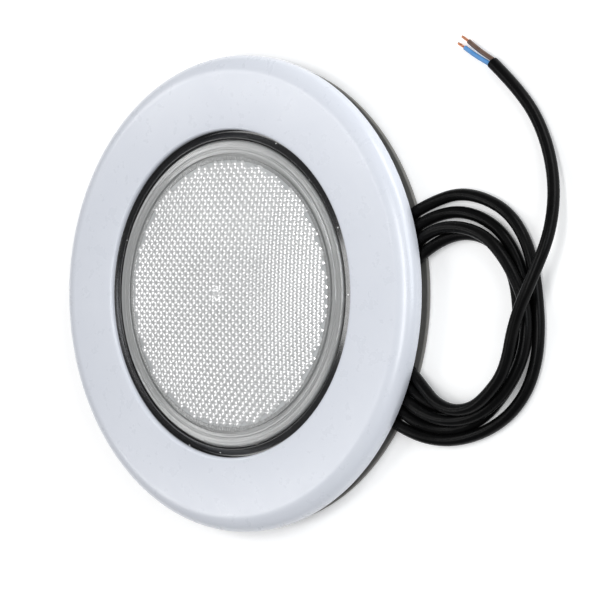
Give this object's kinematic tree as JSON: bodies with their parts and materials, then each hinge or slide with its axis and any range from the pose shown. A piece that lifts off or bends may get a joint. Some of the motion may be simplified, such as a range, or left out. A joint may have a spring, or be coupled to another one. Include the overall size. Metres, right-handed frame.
{
  "type": "underwater pool light",
  "caption": "Flat round wall-mounted pool light: white face ring, beaded clear lens with a black gasket, twist-lock wall plate and a coiled black rubber cable with bared cores.",
  "frame": {"origin": "centre of the wall plate's back face, which rests on the wall or the table", "axes": "+Z along the lens's axis, out of the face; +X towards the side where the cable's coil lies"},
  "size_m": [0.3053, 0.2309, 0.0211],
  "materials": {
    "white_plastic": "satin gloss white ABS",
    "clear_lens": "clear moulded polycarbonate",
    "black_rubber": "matt black rubber",
    "seal_rubber": "silicone seal",
    "stainless": "brushed",
    "screw_steel": "turned",
    "grey_plastic": "moulded grey plastic",
    "aluminium": "rolled",
    "board_white": "white solder mask",
    "led_package": "phosphor",
    "reflector_white": "white film",
    "board_green": "solder mask",
    "capacitor_tan": "moulded tantalum",
    "ferrite": "ferrite",
    "chip_black": "epoxy",
    "terminal_plastic": "polyamide",
    "brass": "plated",
    "core_blue": "PVC",
    "core_brown": "PVC",
    "wire_red": "PVC",
    "cable_rubber": "satin black rubber sheath",
    "copper": "tinned copper strands"
  },
  "bodies": {
    "lamp_body": {"lens": "clear_lens", "lens_gasket": "black_rubber", "lens_o_ring": "seal_rubber", "clamp_ring": "stainless", "clamp_screws": "screw_steel", "rear_housing": "grey_plastic", "rear_chamber": "grey_plastic", "chamber_seal": "seal_rubber", "chamber_screws": "screw_steel", "heat_spreader": "aluminium", "led_board": "board_white", "leds": "led_package", "reflector_sheet": "reflector_white", "driver_board": "board_green", "driver_capacitors": "capacitor_tan", "driver_inductors": "ferrite", "bridge_rectifier": "chip_black", "driver_chip": "chip_black", "terminal_block": "terminal_plastic", "terminal_screws": "brass", "inner_lead_blue": "core_blue", "inner_lead_brown": "core_brown", "led_wires": "wire_red", "strain_relief": "black_rubber", "cable_lead": "cable_rubber", "cable_coil": "cable_rubber", "cable_tail": "cable_rubber", "core_blue": "core_blue", "core_brown": "core_brown", "copper_end_blue": "copper", "copper_end_brown": "copper"},
    "face": {"face_ring": "white_plastic"},
    "wall_mount": {"wall_plate": "grey_plastic"}
  },
  "joints": [
    {"name": "face_ring_twist", "type": "hinge", "parent": "lamp_body", "child": "face", "pos_m": [0, 0, 0.0106], "axis": [0, 0, 1], "range_deg": [0, 20]},
    {"name": "wall_plate_twist", "type": "hinge", "parent": "lamp_body", "child": "wall_mount", "pos_m": [0, 0, 0.005], "axis": [0, 0, 1], "range_deg": [0, 38]}
  ]
}
